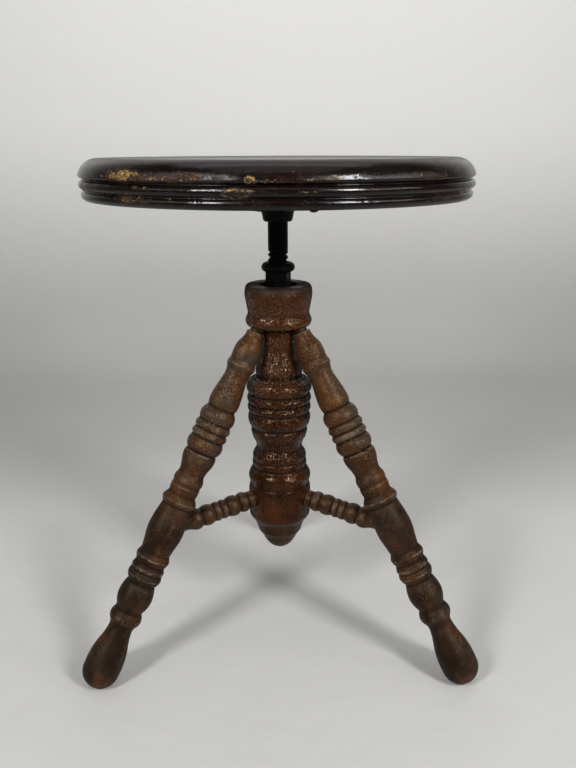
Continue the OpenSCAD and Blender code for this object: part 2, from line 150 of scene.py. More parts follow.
COLUMN_SHARES = [
    (0, 0, 0),
    # drop at the lower end
    (0.035, 0.454, 0.074), (0.038, 0.457, 0), (0.052, 0.521, 0.018), (0.054, 0.540, 0),
    (0.080, 0.687, 0), (0.084, 0.684, 0), (0.115, 0.782, 0),
    # body that takes the stretchers
    (0.136, 0.911, -0.008), (0.154, 0.966, 0.01), (0.180, BODY_SHARE, 0),
    (0.242, BODY_SHARE, 0), (0.265, 0.929, 0.01), (0.275, 0.927, -0.012),
    (0.299, 0.969, 0.004), (0.328, 0.846, 0.022),
    # collar and cove
    (0.333, 0.818, 0), (0.338, 0.818, 0), (0.341, 0.838, 0), (0.358, 0.836, 0.012),
    (0.361, 0.810, 0), (0.364, 0.815, 0), (0.392, 0.791, 0.028), (0.412, 0.706, -0.014),
    (0.447, 0.811, -0.023), (0.465, 0.854, 0.003), (0.484, 0.846, 0.018), (0.488, 0.828, 0),
    # four rings
    (0.514, 0.951, 0.026), (0.542, 0.917, 0.022), (0.545, 0.896, 0), (0.548, 0.914, 0),
    (0.576, 0.914, 0.056), (0.578, 0.896, 0), (0.580, 0.914, 0), (0.611, 0.914, 0.066),
    (0.614, 0.896, 0), (0.616, 0.914, 0), (0.641, 0.994, 0.026), (0.667, 0.815, 0.05),
    # flange, then a bell-shaped neck
    (0.665, 0.775, 0), (0.671, 0.755, 0), (0.677, 0.670, 0), (0.700, 0.714, 0.014),
    (0.738, 0.606, 0.008), (0.776, 0.514, -0.012), (0.820, 0.508, -0.003),
    (0.845, 0.502, 0), (CAP_SHARE, 0.496, 0),
    # cap
    (CAP_SHARE, 0.92, 0),
    (0.878, 0.982, 0.018), (0.893, 0.936, 0.008), (0.906, 0.911, -0.004),
    (0.949, 0.978, 0), (0.988, 0.982, 0.02), (1, 0.920, 0.012),
]
STRETCHER_SHARES = [
    # fine rings by the column
    (0.020, 0.790, 0), (0.050, 0.790, 0.02), (0.080, 0.790, 0.02), (0.100, 0.800, 0),
    # collar, then a bead
    (0.215, 0.830, 0.16), (0.228, 0.805, 0), (0.238, 0.830, 0), (0.398, 0.830, 0.16),
    # two small rings
    (0.408, 0.795, 0), (0.418, 0.815, 0), (0.499, 0.815, 0.09), (0.507, 0.790, 0),
    (0.515, 0.815, 0), (0.599, 0.815, 0.09), (0.608, 0.795, 0),
    # bead, then a collar
    (0.618, 0.830, 0), (0.776, 0.830, 0.16), (0.786, 0.805, 0), (0.796, 0.845, 0),
    (0.857, 1, 0.035), (0.945, 0.835, 0.05),
]

# Marks in the seat's varnish: direction from the front in degrees, height over the seat's
# underside in mm, half width and half height in mm, and how bare the wood is. A negative last
# value makes a hollow mark, bare along its outline only
CHIPS = [
    (-40.5, 23.9, 8, 3.8, 1.0), (-44.5, 23.3, 5, 2.2, 1.0), (-36.5, 25, 5, 1.3, 0.9),
    (-56, 22.8, 2, 1.2, 0.8), (-50, 22.5, 2, 1.3, 0.8), (-36.7, 15.5, 2.6, 1.4, 0.9),
    (-33.3, 15.0, 2.2, 1.2, 0.9), (-38.6, 6.5, 12, 2.4, 0.75), (-6.3, 21.3, 4.4, 3.0, 1.0),
    (-9.6, 12.0, 7.6, 2.6, -1.0), (-5.9, 14.0, 1.8, 1.0, 0.9), (-2.9, 20.4, 1.2, 0.9, 0.9),
    (-0.4, 20.5, 1.6, 0.8, 0.9), (2.2, 20.4, 1.4, 0.8, 0.9), (7.8, 21.7, 6, 0.7, 0.85),
    (10.6, 22.0, 4, 0.6, 0.85), (6.6, 13.2, 7, 0.6, 0.8), (36.6, 24.0, 2.6, 1.0, 0.95),
    (36.0, 14.0, 1.4, 1.0, 0.9), (40.0, 4.2, 1.6, 0.9, 0.8), (47.0, 4.6, 4.0, 0.9, 0.7),
    (-22, 9.0, 2.0, 0.8, 0.8), (20, 21.5, 2.2, 0.7, 0.8), (28, 6.0, 3.0, 0.7, 0.7),
    (-31, 21.6, 4.5, 1.1, 0.85), (-26.5, 23.4, 2.6, 1.0, 0.8), (-23, 20.8, 3.2, 0.8, 0.85),
    (-19, 25.4, 1.8, 1.2, 0.85), (-16.5, 21.4, 2.4, 0.8, 0.8), (-12.2, 22.6, 1.4, 0.8, 0.8),
    (-27, 7.6, 3.2, 0.8, 0.8), (-47.5, 15.6, 2.2, 0.9, 0.8), (-64, 21.8, 2.0, 2.4, 0.9),
    (-72, 21.6, 2.4, 2.2, 0.9), (-1.5, 20.7, 8, 1.3, 0.7), (12.7, 22.8, 5.0, 1.6, 0.85),
    (47, 23.0, 1.4, 2.2, 0.9), (59, 7.5, 5.0, 1.3, 0.85), (60.5, 22.5, 2.4, 1.2, 0.85),
    (3.4, 26.5, 2.2, 0.9, 0.75), (24.5, 24.5, 1.2, 0.9, 0.8),
    (75, 22, 6, 1.8, 0.9), (110, 12, 8, 1.6, 0.9), (150, 24, 9, 2.2, 0.9), (188, 13, 6, 1.4, 0.9),
    (215, 22, 5, 2.0, 0.9), (250, 8, 9, 1.5, 0.8), (282, 20, 5, 1.5, 0.85),
]
# Rubbed places: direction, height, half width, half height, depth of the wear
RUBS = [
    (-42, 24, 20, 6, 0.55), (-27, 22, 46, 4.5, 0.5), (-38, 7, 22, 5, 0.45), (8, 21, 26, 3, 0.24),
    (-9, 12, 12, 5, 0.35), (38, 22, 30, 4, 0.35), (-60, 14, 25, 6, 0.3), (50, 6, 30, 5, 0.3),
    (95, 20, 40, 6, 0.4), (160, 22, 50, 6, 0.4), (230, 20, 40, 6, 0.4),
]

# Colours of what lies on the wood or the iron, or shows through the varnish
GRIME = (0.036, 0.026, 0.018)
RUDDY = (0.050, 0.0125, 0.0045)
AMBER = (0.105, 0.046, 0.0075)
CHAFED = (0.115, 0.086, 0.062)
FLECKS = (0.22, 0.105, 0.040)
DUST = (0.024, 0.020, 0.017)
RUST = (0.020, 0.010, 0.005)
THIN_VARNISH = (0.046, 0.014, 0.006)
SPECKS = (0.24, 0.12, 0.045)

# Darkest and lightest colours of each kind of iron
BLACK_OILED = ((0.0010, 0.0012, 0.0009), (0.0022, 0.0025, 0.0020))
GREEN_BLACK = ((0.0012, 0.0018, 0.0015), (0.004, 0.0055, 0.0045))
JAPANNED = ((0.0018, 0.0018, 0.0020), (0.004, 0.004, 0.0042))
DARK_STEEL = ((0.005, 0.005, 0.005), (0.014, 0.014, 0.014))

# Colours of the floor and of the light from all round, and the strength of that light
CLOTH = (0.46, 0.455, 0.44)
SKY = (0.95, 0.97, 1.0)
SKY_STRENGTH = 0.055

# Soft lights: name, azimuth from the camera's side and elevation in degrees, distance and size
# in metres, power in watts, and the place that each shines at
LAMPS = [
    ("left_key", -38, 29, 1.9, (0.33, 0.70), 28, (0, 0, 0.3)),
    ("right_key", 40, 29, 1.9, (0.33, 0.70), 32, (0, 0, 0.3)),
    ("left_window", -67, 26, 1.8, (0.80, 0.38), 2, (0, 0, 0.3)),
    ("right_window", 67, 26, 1.8, (0.80, 0.38), 5, (0, 0, 0.3)),
    ("overhead", 0, 82, 1.9, (1.4, 1.4), 4, (0, 0, 0.1)),
    ("ceiling", 0, 70, 2.3, (2.2, 1.2), 7, (0, 1.4, 0.3)),
    ("wall_light", 0, 25, 1.0, (2.4, 0.25), 5, (0, 1.25, 0.95)),
]


# Outlines

def bowed(start, end, bow, steps=BOW_STEPS):
    """Points after the first on a circular bow between two [radius, distance] points."""
    start, end = np.array(start, float), np.array(end, float)
    if bow == 0:
        return [end]
    run = end - start
    chord = np.linalg.norm(run)
    along = run / chord
    outward = np.array([along[1], -along[0]])
    bow_r = (chord * chord / 4 + bow * bow) / (2 * bow)
    half = math.asin(chord / (2 * bow_r))
    points = []
    for i in range(1, steps + 1):
        a = half * (2 * i / steps - 1)
        points.append(start + along * (chord / 2 + bow_r * math.sin(a))
                      + outward * bow_r * (math.cos(a) - math.cos(half)))
    return points


def turned(shares, length, radius):
    """Outline of a turning from its stations."""
    stations = [np.array([r * radius, z * length]) for z, r, _ in shares]
    points = [stations[0]]
    for i in range(1, len(shares)):
        points += bowed(stations[i - 1], stations[i], shares[i][2] * radius)
    return points


def softened(points, longest):
    """The outline with long stretches divided, and with each corner worn off once."""
    corner_share = 0.25
    points = [np.array(p, float) for p in points]
    fine = [points[0]]
    for p, q in zip(points, points[1:]):
        parts = max(1, math.ceil(np.linalg.norm(q - p) / longest))
        fine += [p + (q - p) * k / parts for k in range(1, parts + 1)]
    cut = [fine[0]]
    for p, q in zip(fine, fine[1:]):
        cut += [p + (q - p) * corner_share, p + (q - p) * (1 - corner_share)]
    return np.array(cut + [fine[-1]])


def relief(points, reach):
    """How far each point of an outline stands out from its neighbourhood, in millimetres."""
    step = 0.5
    length = np.concatenate([[0], np.cumsum(np.linalg.norm(np.diff(points, axis=0), axis=1))])
    even = np.arange(0, length[-1], step)
    radius = np.interp(even, length, points[:, 0])
    width = max(3, int(reach / step))
    kernel = np.hanning(width * 2 + 1)
    kernel /= kernel.sum()
    padded = np.pad(radius, width, mode="edge")
    mean = np.convolve(padded, kernel, mode="valid")
    return np.interp(length, even, radius - mean)


def waver(seed, amount):
    """A change of radius for a hand-turned surface: slow, repeatable waves of up to an amount."""
    waves, most_lobes, full_turn, twist, least_size, fade_r = 5, 6, 6.28, 0.02, 0.4, 5
    rng = np.random.default_rng(seed)
    terms = [(rng.integers(1, most_lobes + 1), rng.uniform(0, full_turn),
              rng.uniform(-twist, twist) * k, rng.uniform(least_size, 1))
             for k in range(1, waves + 1)]
    total = sum(size for *_, size in terms)

    def shape(theta, radius, height):
        out = 0
        for lobes, phase, slope, size in terms:
            out = out + size * np.sin(lobes * theta + phase + slope * height)
        return -amount * (1 + out / total) / 2 * np.minimum(1, radius / fade_r)
    return shape


# Meshes

def directions(around):
    """Angles of the points of one ring."""
    return np.arange(around) * 2 * math.pi / around


def ring_faces(rings, around):
    """Faces between the rings of a turning."""
    j = np.arange(around)
    k = (j + 1) % around
    faces = []
    for i in range(rings - 1):
        a, b = i * around, (i + 1) * around
        faces += np.stack([a + j, a + k, b + k, b + j], axis=1).tolist()
    return faces


def lathe(name, points, around, place, shape, extra=None, wear_reach=6.0):
    """A turning about Z from [radius, distance] points in millimetres, placed by a matrix.

    The outline starts and ends on the axis. shape(theta, radius, height) gives a change of
    radius for each ring and direction. The attributes stand and ridge say how far the surface
    stands out from what lies within wear_reach and within RIDGE_REACH."""
    theta = directions(around)
    radius = np.repeat(points[:, :1], around, axis=1)
    radius = np.maximum(0, radius + shape(theta[None, :], points[:, :1], points[:, 1:]))
    height = np.repeat(points[:, 1:], around, axis=1)
    xyz = np.stack([radius * np.cos(theta), radius * np.sin(theta), height], axis=-1)
    mesh = bpy.data.meshes.new(name)
    mesh.from_pydata((xyz.reshape(-1, 3) * MM).tolist(), [], ring_faces(len(points), around))
    mesh.validate()
    put_attribute(mesh, "stand", np.repeat(relief(points, wear_reach), around))
    put_attribute(mesh, "ridge", np.repeat(relief(points, RIDGE_REACH), around))
    for key, values in (extra or {}).items():
        put_attribute(mesh, key, values)
    merge_poles(mesh)
    mesh.shade_smooth()
    mesh.set_sharp_from_angle(angle=math.radians(SHARP_ANGLE))
    keep_own_place(mesh)
    mesh.transform(place)
    obj = bpy.data.objects.new(name, mesh)
    bpy.context.scene.collection.objects.link(obj)
    return obj


def put_attribute(mesh, name, values):
    """Gives each point of a mesh its own value of an attribute."""
    layer = mesh.attributes.new(name, "FLOAT", "POINT")
    layer.data.foreach_set("value", np.asarray(values, np.float32).reshape(-1))


def keep_own_place(mesh):
    """Keeps the points' places in the turning's own frame, for its materials."""
    places = np.empty(len(mesh.vertices) * 3, np.float32)
    mesh.vertices.foreach_get("co", places)
    layer = mesh.attributes.new("turning", "FLOAT_VECTOR", "POINT")
    layer.data.foreach_set("vector", places)


def merge_poles(mesh):
    """Joins the points of a ring that has shrunk to the axis."""
    pole_r, pole_gap = 1e-6, 1e-5
    work = bmesh.new()
    work.from_mesh(mesh)
    close = [v for v in work.verts if math.hypot(v.co.x, v.co.y) < pole_r]
    bmesh.ops.remove_doubles(work, verts=close, dist=pole_gap)
    work.to_mesh(mesh)
    work.free()


# Materials

def scaled(colour, share, lift=0.0):
    """A colour times a share, with the same lift added to its red, green and blue."""
    return tuple(c * share + lift for c in colour)


class Shader:
    """One material: its colour, roughness and relief so far, and short names for its nodes."""

    mix_a, mix_b, mix_out = 6, 7, 2    # colour sockets of a mix node

    def __init__(self, name, turning=False):
        self.material = bpy.data.materials.new(name)
        self.material.use_nodes = True
        self.tree = self.material.node_tree
        self.tree.nodes.clear()
        self.out = self.tree.nodes.new("ShaderNodeOutputMaterial")
        self.colour = self.rough = self.normal = None
        if turning:
            own_frame = self.put("ShaderNodeAttribute", attribute_name="turning")
            self.coords = own_frame.outputs["Vector"]
        else:
            self.coords = self.put("ShaderNodeTexCoord").outputs["Object"]

    def put(self, kind, inputs=None, **settings):
        """A new node with its settings, and with values or links in its inputs."""
        node = self.tree.nodes.new(kind)
        for key, value in settings.items():
            setattr(node, key, value)
        for key, value in (inputs or {}).items():
            self.feed(node.inputs[key], value)
        return node

    def feed(self, socket, value):
        if isinstance(value, bpy.types.NodeSocket):
            self.tree.links.new(value, socket)
        else:
            socket.default_value = value

    # Places

    def part(self, vector, axis):
        return self.put("ShaderNodeSeparateXYZ", {0: vector}).outputs[axis]

    def stretched(self, x, y, z):
        return self.put("ShaderNodeMapping", {"Vector": self.coords, "Scale": (x, y, z)}).outputs[0]

    def slanted(self, turn, stretch):
        """Places turned first and then stretched."""
        turned_coords = self.put("ShaderNodeMapping", {"Vector": self.coords, "Rotation": turn})
        return self.put("ShaderNodeMapping", {
            "Vector": turned_coords.outputs[0], "Scale": stretch}).outputs[0]

    def attribute(self, name):
        return self.put("ShaderNodeAttribute", attribute_name=name).outputs["Fac"]

    # Patterns

    def noise(self, scale, detail=4, rough=0.6, vector=None, distortion=0.0):
        return self.put("ShaderNodeTexNoise", {
            "Vector": vector or self.coords, "Scale": scale, "Detail": detail,
            "Roughness": rough, "Distortion": distortion}).outputs["Fac"]

    def blotches(self, scale, between, to=(0, 1), detail=4, rough=0.6):
        """Noise that sets in between two of its values."""
        return self.fit(self.noise(scale, detail, rough), between, to)

    def cells(self, scale, feature="F1", out="Distance"):
        return self.put("ShaderNodeTexVoronoi", {"Vector": self.coords, "Scale": scale},
                        feature=feature).outputs[out]

    def scales(self, scale):
        """Height of small flat scales, each tipped its own way, in metres for a slope of one."""
        cell = self.put("ShaderNodeTexVoronoi", {"Vector": self.coords, "Scale": scale})
        tip = self.vector_math("SUBTRACT", cell.outputs["Color"], (0.5, 0.5, 0.5))
        reach = self.vector_math("SUBTRACT", self.coords, cell.outputs["Position"])
        return self.vector_math("DOT_PRODUCT", tip, reach, "Value")

    # Sums

    def math(self, kind, a, b=0.0, clamp=False):
        return self.put("ShaderNodeMath", {0: a, 1: b}, operation=kind, use_clamp=clamp).outputs[0]

    def vector_math(self, kind, a, b=(0, 0, 0), out="Vector"):
        return self.put("ShaderNodeVectorMath", {0: a, 1: b}, operation=kind).outputs[out]

    def add(self, a, b):
        return self.math("ADD", a, b)

    def times(self, a, b):
        return self.math("MULTIPLY", a, b)

    def fit(self, value, between, to=(0, 1), smooth=False):
        """The value's way from one end of a stretch to the other, laid over the ends of to."""
        return self.put("ShaderNodeMapRange", {
            "Value": value, "From Min": between[0], "From Max": between[1],
            "To Min": to[0], "To Max": to[1]},
            clamp=True, interpolation_type="SMOOTHSTEP" if smooth else "LINEAR").outputs[0]

    # Colour, roughness and relief

    def ramp(self, value, stops):
        node = self.put("ShaderNodeValToRGB", {"Fac": value})
        ramp = node.color_ramp
        while len(ramp.elements) < len(stops):
            ramp.elements.new(0.5)
        for element, (place, colour) in zip(ramp.elements, stops):
            element.position = place
            element.color = (*colour, 1)
        return node.outputs["Color"]

    def cover(self, factor, colour):
        """Lays a colour over the colour so far."""
        node = self.put("ShaderNodeMix", {"Factor": factor}, data_type="RGBA")
        for index, value in ((self.mix_a, self.colour), (self.mix_b, colour)):
            self.feed(node.inputs[index], (*value, 1) if isinstance(value, tuple) else value)
        self.colour = node.outputs[self.mix_out]

    def roughen(self, amount):
        self.rough = self.math("ADD", self.rough, amount, clamp=True)

    def emboss(self, height, strength, distance):
        """Lays a relief over the relief so far."""
        inputs = {"Height": height, "Strength": strength, "Distance": distance}
        if self.normal is not None:
            inputs["Normal"] = self.normal
        self.normal = self.put("ShaderNodeBump", inputs).outputs[0]

    def surface(self, **inputs):
        """The material, with what has been laid on it and these other inputs of its surface."""
        named = {key.replace("_", " "): value for key, value in inputs.items()}
        named.update({"Base Color": self.colour, "Roughness": self.rough, "Normal": self.normal})
        node = self.put("ShaderNodeBsdfPrincipled", named)
        self.tree.links.new(node.outputs[0], self.out.inputs["Surface"])
        return self.material


class TurnedWood(Shader):
    """Old spirit varnish on turned wood: dark grooves, rubbed crests and a skin of crazed scales.

    Each wood gives its colours deep, warm and pale, craze for how high the tipped scales stand,
    wear for how bare the crests are rubbed, and gloss for the strength of the reflection. A name
    that ends in z is a stretch along the turning in metres. The presets of those lie off the
    wood, so that nothing changes along it."""

    shine = 0.13                 # least roughness
    painted_glint_strength = 0.5                # strength of the painted glints on single scales
    sheen = (1, 0.76, 0.50, 1)   # colour of the reflection
    patina = 0.3                 # how strong the stains are
    edges = 0.0                  # how light the sharp edges are chafed
    fine_rings = 0.0             # how dark the marks of the turner's tool are
    painted_side_shade = 0.0              # how dark the painted shade on the left and right sides is
    shift = 0.0                  # change of scale that gives each wood its own patterns
    crest = (0.15, 1.3)          # relief in mm over which wear sets in
    groove = (-0.08, -0.7)       # relief in mm over which dirt sets in
    worn_z = (2, 3)              # where the tone goes from deep to pale
    smooth_z = (-2, -1)          # where the crazing comes in
    dull_z = (2, 3)              # where dust takes the gloss
    low_z = (-2, -1)             # where the low end's dullness goes
    low_dull = 0.0               # how dull the low end is

    def __init__(self, name):
        super().__init__(name, turning=True)
        self.along = self.part(self.coords, "Z")
        self.stand = self.attribute("stand")
        self.paint_tone()
        self.paint_stains()
        self.paint_wear()
        self.paint_grooves()
        self.craze_varnish()
        self.dull_varnish()
        self.surface(Specular_IOR_Level=self.gloss, Specular_Tint=self.sheen)

    def paint_tone(self):
        """Grain and clouds, and the way to pale along the turning."""
        grain = self.noise(9, 6, 0.6, self.stretched(26, 26, 1.6), distortion=0.6)
        cloud = self.noise(36 + self.shift, 5, 0.62)
        tone = self.add(self.times(grain, 0.22), self.times(cloud, 0.78))
        self.colour = self.ramp(tone, [(0.38, self.deep), (0.52, self.warm), (0.70, self.pale)])
        sway = 0.10
        start, end = self.worn_z
        self.worn = self.fit(self.add(self.along, self.times(cloud, sway)),
                             (start + sway / 2, end + sway / 2), (0, 0.8))
        self.cover(self.worn, self.pale)

    def paint_stains(self):
        """Grime, most of it on worn wood, and ruddy places."""
        grime = self.blotches(27 + self.shift, (0.45, 0.60), (0, self.patina))
        self.cover(self.times(grime, self.fit(self.worn, (0, 0.5), (0.3, 1))), GRIME)
        self.cover(self.blotches(38 + self.shift, (0.50, 0.64), (0, 0.6 * self.patina)), RUDDY)

    def paint_wear(self):
        """Rubbed crests, amber places, chafed edges and light flecks."""
        patch = self.blotches(85 + self.shift, (0.42, 0.60), detail=5, rough=0.68)
        rubbed = self.times(self.fit(self.stand, self.crest), patch)
        self.cover(self.times(rubbed, self.wear), scaled(self.pale, 1.5))
        amber = self.blotches(52 + self.shift, (0.57, 0.68), (0, self.patina))
        self.cover(self.times(amber, self.fit(self.worn, (0, 0.5), (0.1, 0.8))), AMBER)
        if self.edges:
            ridge = self.fit(self.attribute("ridge"), (0.018, 0.055))
            chafed = self.blotches(130 + self.shift, (0.44, 0.60), (0, self.edges), 5, 0.7)
            self.cover(self.times(ridge, chafed), CHAFED)
        flecks = self.times(self.blotches(560, (0.56, 0.66), rough=0.7),
                            self.blotches(48 + self.shift, (0.48, 0.62)))
        self.cover(self.times(flecks, self.wear), FLECKS)

    def paint_grooves(self):
        """Dirt in the grooves and the fine rings of the turner's tool."""
        self.dirt = self.fit(self.stand, self.groove)
        self.cover(self.times(self.dirt, 0.9), scaled(self.deep, 0.10))
        if self.fine_rings:
            rings = self.put("ShaderNodeTexWave", {
                "Vector": self.coords, "Scale": 260, "Distortion": 0.6}, bands_direction="Z")
            self.cover(self.fit(rings.outputs["Fac"], (0.55, 0.95), (0, self.fine_rings)),
                       scaled(self.deep, 0.3))

    def craze_varnish(self):
        """Tipped scales with dark cracks between them, and pale specks on some of them as painted
        glints.
        """
        patches = self.times(self.blotches(30 + self.shift, (0.38, 0.60), (0.3, 1), detail=3),
                             self.fit(self.along, self.smooth_z, (0.25, 1)))
        cracks = self.cells(SCALE_CELLS, "DISTANCE_TO_EDGE")
        self.cover(self.times(self.fit(cracks, (0.10, 0.02), (0, 0.8)), patches),
                   scaled(self.deep, 0.3))
        # painted highlight: pale specks on some scales stand in for the glints of the crazed
        # varnish
        chance = self.put("ShaderNodeSeparateColor", {0: self.cells(SCALE_CELLS, out="Color")})
        painted_glint = self.times(self.fit(chance.outputs[0], (0.20, 0.90)),
                           self.fit(self.cells(SCALE_CELLS), (0.45, 0.20)))
        painted_glint_share = self.fit(self.worn, (0, 0.5), (0.6 * self.painted_glint_strength, self.painted_glint_strength))
        self.cover(self.times(self.times(painted_glint, patches), painted_glint_share), scaled(self.pale, 2.0, 0.060))
        self.emboss(self.times(self.scales(SCALE_CELLS), patches), 1.0, self.craze)
        self.emboss(self.times(self.fit(cracks, (0, 0.14)), patches), 0.8, 0.00012)
        self.emboss(self.noise(60, rough=0.5), 0.25, 0.0010)

    def dull_varnish(self):
        """Roughness, more of it in the grooves and at the ends, with dust, and with painted shade
        on the left and right sides, which are dulled too.
        """
        self.rough = self.blotches(90, (0.3, 0.7), (self.shine, self.shine + 0.08))
        self.roughen(self.times(self.dirt, 0.3))
        self.roughen(self.fit(self.along, self.low_z, (self.low_dull, 0)))
        dust = self.fit(self.along, self.dull_z)
        self.roughen(self.times(dust, 0.35))
        self.cover(self.times(dust, 0.75), DUST)
        # painted shade: the left and right sides, as seen from the front, are darkened and dulled
        if self.painted_side_shade:
            flat = self.vector_math("MULTIPLY", self.coords, (1, 1, 0))
            across = self.part(self.vector_math("NORMALIZE", flat), "X")
            sides = self.fit(self.math("ABSOLUTE", across), (0.80, 0.99), (0, self.painted_side_shade),
                             smooth=True)
            self.roughen(self.times(sides, 0.6))
            self.cover(sides, scaled(self.deep, 0.3))


class ColumnWood(TurnedWood):
    """Red-brown and closely crazed, with a dusty top."""

    deep, warm, pale = (0.010, 0.0024, 0.0006), (0.021, 0.0054, 0.0010), (0.046, 0.0118, 0.0012)
    worn_z = (0.155, 0.235)
    smooth_z = (0.06, 0.12)
    dull_z = (0.273, 0.281)
    low_z = (0.035, 0.055)
    low_dull = 0.25
    craze = 0.52
    wear = 0.35
    painted_glint_strength = 1.0
    gloss = 0.2
    painted_side_shade = 0.7


class LegWood(TurnedWood):
    """Near black at the foot, worn to brown above, with light edges."""

    deep, warm, pale = (0.0038, 0.0014, 0.0008), (0.0082, 0.0030, 0.0014), (0.067, 0.0250, 0.0068)
    worn_z = (0.17, 0.31)
    smooth_z = (0.10, 0.26)
    low_z = (0.17, 0.27)
    low_dull = 0.17
    craze = 0.26
    wear = 0.6
    shine = 0.33
    gloss = 0.18
    sheen = (1, 0.79, 0.57, 1)
    patina = 0.85
    edges = 0.8
    shift = 4


class StretcherWood(TurnedWood):
    """Brown and hardly crazed, with rubbed beads between dark grooves."""

    deep, warm, pale = (0.013, 0.005, 0.0020), (0.038, 0.0150, 0.0050), (0.11, 0.044, 0.012)
    craze = 0.08
    wear = 0.7
    shine = 0.32
    painted_glint_strength = 0.15
    gloss = 0.2
    sheen = (1, 0.86, 0.70, 1)
    patina = 0.12
    edges = 0.5
    fine_rings = 0.45
    shift = 9
    crest = (0.02, 0.40)
    groove = (-0.02, -0.30)


class SeatVarnish(Shader):
    """Near-black varnish, rubbed and chipped at the rim."""

    black, brown, red = (0.0018, 0.0011, 0.0011), (0.0042, 0.0019, 0.0015), (0.014, 0.004, 0.0022)
    dark_wood, wood, light_wood = (0.06, 0.024, 0.008), (0.22, 0.125, 0.035), (0.46, 0.34, 0.12)
    rim_z = (0.0320, 0.0350)    # heights in metres over which the top grows dull

    def __init__(self, name):
        super().__init__(name, turning=True)
        self.rub = self.times(self.attribute("rub"),
                              self.blotches(75, (0.38, 0.58), (0.45, 1.1), detail=5, rough=0.7))
        self.strokes = self.noise(900, 3, vector=self.slanted((0, 0.7, 0), (0.22, 0.6, 1)))
        self.paint_tone()
        self.paint_thin_places()
        self.paint_bare_wood()
        self.paint_specks()
        self.shape_skin()
        self.surface(Specular_IOR_Level=0.29)

    def paint_tone(self):
        """Grain and clouds from black to a dark red."""
        grain = self.noise(5, 6, vector=self.stretched(1.4, 20, 20), distortion=0.5)
        tone = self.add(self.times(grain, 0.4), self.times(self.noise(18, 5, 0.62), 0.6))
        self.colour = self.ramp(tone, [(0.36, self.black), (0.55, self.brown), (0.75, self.red)])

    def paint_thin_places(self):
        """Streaks of thin varnish, most of them where it is rubbed."""
        streaks = self.add(self.times(self.strokes, 0.6), self.times(self.noise(170, 6, 0.78), 0.4))
        thin = self.fit(self.add(self.times(self.rub, 0.26), streaks), (0.60, 0.72))
        self.cover(self.times(thin, 0.8), THIN_VARNISH)

    def paint_bare_wood(self):
        """Ragged chips, down to the wood."""
        other_strokes = self.noise(900, 3, vector=self.slanted((0, -0.35, 0), (0.2, 0.6, 1)))
        scratches = self.math("MAXIMUM", self.times(self.strokes, 1.02), other_strokes)
        ragged = self.add(self.times(scratches, 0.55), self.times(self.noise(650, 5, 0.72), 0.5))
        chips = self.times(self.attribute("bare"), 0.50)
        opened = self.math("MAXIMUM", chips, self.times(self.rub, 0.40))
        self.open_wood = self.fit(self.add(opened, self.times(ragged, 2.0)), (1.51, 1.65))
        self.cover(self.open_wood, self.ramp(self.noise(480, 4, 0.75), [
            (0.34, self.dark_wood), (0.50, self.wood), (0.68, self.light_wood)]))

    def paint_specks(self):
        """Small light specks, none of them in the grooves."""
        specks = self.fit(self.add(self.times(self.rub, 0.27), self.noise(760, 3, 0.72)),
                          (0.70, 0.79))
        self.cover(self.times(specks, self.fit(self.attribute("stand"), (-0.5, -0.1))), SPECKS)

    def shape_skin(self):
        """Relief and roughness: chips lie deep, and rubs, chips and the top are dull."""
        self.emboss(self.times(self.open_wood, -1.0), 0.8, 0.0003)
        self.emboss(self.noise(75, 5, 0.55), 0.22, 0.0008)
        self.emboss(self.times(self.scales(900), self.blotches(40, (0.40, 0.62), detail=3)),
                    1.0, 0.16)
        self.rough = self.blotches(60, (0.3, 0.7), (0.13, 0.21), detail=5, rough=0.65)
        self.roughen(self.times(self.times(self.rub, self.rub), 2.2))
        self.roughen(self.fit(self.part(self.coords, "Z"), self.rim_z, (0, 0.22)))
        self.roughen(self.times(self.open_wood, 0.3))


def iron(name, colours, grains):
    """Iron or steel between two colours, with a skin of so many grains in a metre."""
    s = Shader(name)
    dark, light = colours
    s.colour = s.ramp(s.noise(80, 5), [(0.35, dark), (0.7, light)])
    s.cover(s.blotches(190, (0.62, 0.75), (0, 0.35), detail=5, rough=0.7), RUST)
    s.emboss(s.noise(grains), 0.3, 0.0003)
    s.emboss(s.noise(120, 3, 0.5), 0.18, 0.0008)
    s.rough = s.blotches(150, (0.3, 0.7), (0.38, 0.6))
    return s.surface(Metallic=0.25, Specular_IOR_Level=0.08)


def pale_cloth(name, shade):
    """Pale studio floor and backdrop, with painted light on the upper wall and painted shade far
    back low down and on the camera's side.
    """
    s = Shader(name)
    y, z = s.part(s.coords, "Y"), s.part(s.coords, "Z")
    s.colour = s.ramp(s.noise(3), [(0.3, scaled(shade, 0.95)), (0.7, shade)])
    # painted light: the upper wall is made lighter
    s.cover(s.fit(z, (0.15, 0.60), smooth=True), scaled(shade, 1.35))
    # painted shade: darker on the camera's side of the floor and far back near the foot of the wall
    front = s.fit(y, (-0.95, -0.30), (0.7, 0), smooth=True)
    back = s.times(s.fit(y, (0.15, 0.60), (0, 0.22), smooth=True),
                   s.fit(z, (0.10, 0.38), (1, 0), smooth=True))
    s.cover(s.math("ADD", front, back, clamp=True), scaled(shade, 0.1))
    s.emboss(s.noise(5, 5), 0.25, 0.02)
    s.rough = 0.9
    return s.surface()


# Pieces

def stand_in(obj, material, body, node):
    """Dresses a piece, puts it on its body, and has it stand for a CAD node."""
    obj.data.materials.append(material)
    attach(obj, body)
    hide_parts(node)


def leg_place(turn):
    """Frame of a leg: +Z runs up the leg from the end of its foot."""
    return (Matrix.Rotation(math.radians(turn), 4, "Z")
            @ Matrix.Translation((FOOT_REACH * MM, 0, FOOT_END_Z * MM))
            @ Matrix.Rotation(-LEG_SPLAY, 4, "Y"))


